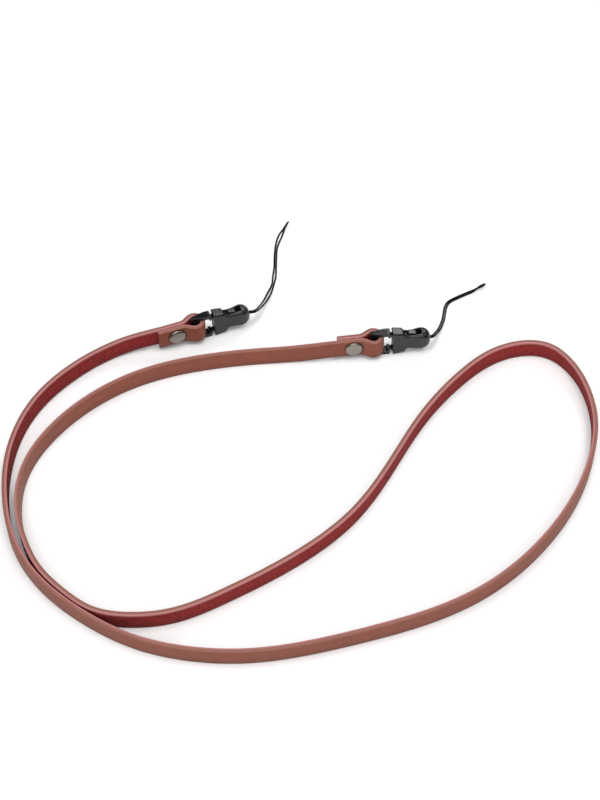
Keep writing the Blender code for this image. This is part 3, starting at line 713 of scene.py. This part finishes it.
def cord_tree(material):
    """Sweeps a round cord along its path and raises the crossing yarns of its braid."""
    tree, group = new_tree("Braided cord", ("Diameter", "Float", 0.0008), ("Braid Pitch", "Float", 0.0009),
                           ("Sides", "Int", 16))
    step = add_math(tree, "DIVIDE", group["Braid Pitch"], BRAID_POINTS)
    fine = add_node(tree, "GeometryNodeResampleCurve", {"Curve": group["Geometry"], "Length": step},
                    mode="LENGTH")
    turned = add_node(tree, "GeometryNodeSetCurveNormal", {"Curve": fine.outputs["Curve"]},
                      mode="MINIMUM_TWIST")
    length = add_node(tree, "GeometryNodeSplineParameter").outputs["Length"]
    turns = add_math(tree, "DIVIDE", length, group["Braid Pitch"])
    path = store(tree, turned.outputs["Curve"], "phase", add_math(tree, "MULTIPLY", turns, math.tau))
    radius = add_math(tree, "MULTIPLY", group["Diameter"], 0.5)
    ring = add_node(tree, "GeometryNodeCurvePrimitiveCircle",
                    {"Resolution": group["Sides"], "Radius": radius}, mode="RADIUS")
    factor = add_node(tree, "GeometryNodeSplineParameter").outputs["Factor"]
    angle = add_math(tree, "MULTIPLY", factor, BRAID_YARNS * math.tau)
    profile = store(tree, ring.outputs["Curve"], "angle", angle)
    swept = add_node(tree, "GeometryNodeCurveToMesh",
                     {"Curve": path, "Profile Curve": profile, "Fill Caps": True})
    phase, angle = (add_node(tree, "GeometryNodeInputNamedAttribute", {"Name": name},
                             data_type="FLOAT").outputs["Attribute"] for name in ("phase", "angle"))
    right, left = (add_math(tree, "SINE", add_math(tree, way, phase, angle)) for way in ("ADD", "SUBTRACT"))
    height = map_range(tree, add_math(tree, "MULTIPLY", right, left), -1.0, 1.0)
    # The braid's height is kept for the painted sheen and painted shade in the cord's colour
    braided = store(tree, swept.outputs["Mesh"], "braid", height)
    drop = map_range(tree, height, start=-BRAID_DEPTH, end=0.0)
    normal = add_node(tree, "GeometryNodeInputNormal").outputs["Normal"]
    depth = add_math(tree, "MULTIPLY", drop, group["Diameter"])
    push = add_node(tree, "ShaderNodeVectorMath", {0: normal, "Scale": depth}, operation="SCALE")
    moved = add_node(tree, "GeometryNodeSetPosition", {"Geometry": braided, "Offset": push.outputs[0]})
    smooth = add_node(tree, "GeometryNodeSetShadeSmooth", {"Geometry": moved.outputs["Geometry"]})
    finish_tree(tree, smooth.outputs["Geometry"], material)
    return tree


def rivet_tree(material):
    """Sets a pressed cap on each seat, facing the seat's way."""
    tree, group = new_tree("Rivet caps", ("Cap", "Object", None))
    cap = add_node(tree, "GeometryNodeObjectInfo", {"Object": group["Cap"]})
    facing = add_node(tree, "GeometryNodeInputNamedAttribute", {"Name": "facing"},
                      data_type="FLOAT_VECTOR").outputs["Attribute"]
    turn = add_node(tree, "FunctionNodeAlignRotationToVector", {"Vector": facing}, axis="Z")
    placed = add_node(tree, "GeometryNodeInstanceOnPoints",
                      {"Points": group["Geometry"], "Instance": cap.outputs["Geometry"],
                       "Rotation": turn.outputs["Rotation"]})
    finish_tree(tree, placed.outputs["Instances"], material)
    return tree


# Operators


class STRAP_OT_camera(bpy.types.Operator):
    """Place the camera at the photograph's viewing angle"""

    bl_idname = "strap.place_camera"
    bl_label = "Camera"

    def execute(self, context):
        studio = context.scene.strap_studio
        middle = loop_middle()
        data = bpy.data.cameras.new("Studio camera")
        data.lens = studio.lens
        data.clip_start = 0.01
        camera = link_object("Studio camera", data)
        camera.location = (middle.x + CAMERA_FROM_MIDDLE[0], middle.y + CAMERA_FROM_MIDDLE[1],
                           studio.height)
        camera.rotation_euler = (math.pi / 2 - studio.pitch, 0, 0)
        context.scene.camera = camera
        return {"FINISHED"}


class STRAP_OT_cords(bpy.types.Operator):
    """Lay both braided cord loops"""

    bl_idname = "strap.lay_cords"
    bl_label = "Cord loops"

    def execute(self, context):
        look = context.scene.strap_cords
        tree = cord_tree(cord_material())
        for name in ENDS:
            line = cord_line(name)
            path = path_object(name + "_path", line)
            values = {"Diameter": look.diameter, "Braid Pitch": look.braid_pitch, "Sides": look.sides}
            piece = run_tree(path, tree, values, name + "_cord_loop")
            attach(piece, "root")
            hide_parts(name + "_cord")
        return {"FINISHED"}


class STRAP_OT_band(bpy.types.Operator):
    """Sweep the leather band along its route and round both folds"""

    bl_idname = "strap.sweep_band"
    bl_label = "Leather band"

    def execute(self, context):
        look = context.scene.strap_leather
        rows = band_line()
        spots, tilts = [], []
        for i, (x, y, lift, lean) in enumerate(rows):
            before, after = rows[max(i - 1, 0)], rows[min(i + 1, len(rows) - 1)]
            way = Vector((after[0] - before[0], after[1] - before[1], 0)).normalized()
            angle = math.radians(lean)
            upward = Vector((0, 0, math.cos(angle))) + Vector((-way.y, way.x, 0)) * math.sin(angle)
            foot = Vector((x, y, lift + STRAP_THICKNESS / 2 * abs(math.sin(angle))))
            spots.append(foot + upward * STRAP_WIDTH / 2)
            tilts.append(-angle)
        path = path_object("band_path", spots, tilts)
        values = {"Width": STRAP_WIDTH, "Thickness": STRAP_THICKNESS, "Edge Rounding": look.edge_round}
        piece = run_tree(path, band_tree(leather_material()), values, "leather_band")
        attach(piece, "root")
        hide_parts("strap")
        return {"FINISHED"}


class STRAP_OT_rivets(bpy.types.Operator):
    """Press a cap on both faces of each riveted fold"""

    bl_idname = "strap.press_rivets"
    bl_label = "Rivets"

    def execute(self, context):
        look = context.scene.strap_fittings
        mesh = bpy.data.meshes.new("rivet_cap")
        mesh.from_pydata(*cap_faces(look.cap_height))
        mesh.shade_smooth()
        cap = link_object("rivet_cap", mesh)
        seat = LAYER_SPACING / 2 + STRAP_THICKNESS / 2 + CAP_STANDOFF
        points, ways = [], []
        for name in ENDS:
            place = end_frame(name)
            for sign in (-1, 1):
                points.append(place @ Vector((-RIVET_FROM_BAR, sign * seat, 0)))
                ways += list(place.to_3x3() @ Vector((0, sign, 0)))
        seats = bpy.data.meshes.new("rivet_seats")
        seats.from_pydata(points, [], [])
        seats.attributes.new("facing", "FLOAT_VECTOR", "POINT").data.foreach_set("vector", ways)
        piece = run_tree(link_object("rivet_seats", seats), rivet_tree(nickel_material()), {"Cap": cap},
                         "rivet_caps")
        bpy.data.objects.remove(cap, do_unlink=True)
        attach(piece, "root")
        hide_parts("left_rivet", "right_rivet")
        return {"FINISHED"}


def moulding(node, name, voxel, material):
    """Moulded copy of a solid, with small radii on its edges."""
    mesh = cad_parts[node].data.copy()
    mesh.name = name
    builder = bmesh.new()
    builder.from_mesh(mesh)
    bmesh.ops.remove_doubles(builder, verts=builder.verts, dist=1e-6)
    builder.to_mesh(mesh)
    builder.free()
    mesh.materials.clear()
    piece = link_object(name, mesh)
    skin = piece.modifiers.new("skin", "REMESH")
    skin.mode = "VOXEL"
    skin.voxel_size = voxel
    relax = piece.modifiers.new("relax", "SMOOTH")
    relax.factor = MOULD_SMOOTHING
    relax.iterations = MOULD_ROUNDS
    thin = piece.modifiers.new("thin", "DECIMATE")
    thin.ratio = MOULD_FACES_KEPT
    graph = bpy.context.evaluated_depsgraph_get()
    shaped = bpy.data.meshes.new_from_object(piece.evaluated_get(graph), depsgraph=graph)
    bpy.data.objects.remove(piece, do_unlink=True)
    shaped.name = name
    shaped.shade_smooth()
    shaped.materials.clear()
    shaped.materials.append(material)
    return link_object(name, shaped)


class STRAP_OT_releases(bpy.types.Operator):
    """Mould the plug and the socket of each quick release"""

    bl_idname = "strap.mould_releases"
    bl_label = "Quick releases"

    def execute(self, context):
        look = context.scene.strap_fittings
        material = plastic_material()
        for end in ENDS:
            for half in ("plug", "socket"):
                node = f"{end}_{half}"
                piece = moulding(node, node + "_moulding", look.edge_detail, material)
                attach(piece, "root")
                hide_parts(node)
        return {"FINISHED"}


class STRAP_OT_stage(bpy.types.Operator):
    """Put down the pale floor and hang the soft lights"""

    bl_idname = "strap.set_stage"
    bl_label = "Studio"

    def execute(self, context):
        studio = context.scene.strap_studio
        scene = context.scene
        builder = bmesh.new()
        bmesh.ops.create_grid(builder, x_segments=1, y_segments=1, size=FLOOR_HALF_SIZE)
        mesh = bpy.data.meshes.new("studio_floor")
        builder.to_mesh(mesh)
        builder.free()
        material, tree, shader = new_material("Matt white paint")
        shader.inputs["Base Color"].default_value = (*studio.floor_colour, 1)
        shader.inputs["Roughness"].default_value = 0.9
        shader.inputs["Specular IOR Level"].default_value = 0.1
        mesh.materials.append(material)
        floor = link_object("studio_floor", mesh)
        for name, spot, size, share in LIGHTS:
            data = bpy.data.lights.new(name, "AREA")
            data.shape = "RECTANGLE"
            data.size, data.size_y = size
            data.energy = studio.key_power * share
            lamp = link_object(name, data)
            lamp.location = spot
            lamp.rotation_euler = (-Vector(spot)).to_track_quat("-Z", "Y").to_euler()
        world = bpy.data.worlds.new("Graded surround")
        world.use_nodes = True
        sky = world.node_tree
        way = add_node(sky, "ShaderNodeTexCoord").outputs["Generated"]
        height = add_node(sky, "ShaderNodeSeparateXYZ", {0: way}).outputs["Z"]
        glow = map_range(sky, height, 0.0, CEILING_FROM, studio.horizon, studio.ceiling,
                         interpolation_type="SMOOTHSTEP")
        sky.links.new(glow, sky.nodes["Background"].inputs["Strength"])
        scene.world = world
        scene.view_settings.view_transform = "Standard"
        return {"FINISHED"}


class STRAP_PT_sidebar(bpy.types.Panel):
    """Steps that build the neck strap"""

    bl_idname = "STRAP_PT_sidebar"
    bl_label = "Neck Strap"
    bl_space_type = "VIEW_3D"
    bl_region_type = "UI"
    bl_category = "Neck Strap"

    def draw(self, context):
        for kind in OPERATORS:
            self.layout.operator(kind.bl_idname)
        for group in (context.scene.strap_leather, context.scene.strap_fittings, context.scene.strap_cords,
                      context.scene.strap_studio):
            box = self.layout.box()
            for key in group.__annotations__:
                box.prop(group, key)


GROUPS = {
    "strap_leather": STRAP_PG_leather,
    "strap_fittings": STRAP_PG_fittings,
    "strap_cords": STRAP_PG_cords,
    "strap_studio": STRAP_PG_studio,
}
OPERATORS = (STRAP_OT_camera, STRAP_OT_cords, STRAP_OT_band, STRAP_OT_rivets, STRAP_OT_releases,
             STRAP_OT_stage)


def register():
    for kind in (*GROUPS.values(), *OPERATORS, STRAP_PT_sidebar):
        bpy.utils.register_class(kind)
    for name, kind in GROUPS.items():
        setattr(bpy.types.Scene, name, PointerProperty(type=kind))


def unregister():
    for name in GROUPS:
        delattr(bpy.types.Scene, name)
    for kind in reversed((*GROUPS.values(), *OPERATORS, STRAP_PT_sidebar)):
        bpy.utils.unregister_class(kind)


def main():
    register()
    for kind in OPERATORS:
        group, step = kind.bl_idname.split(".")
        getattr(getattr(bpy.ops, group), step)()


if __name__ == "__main__":
    main()
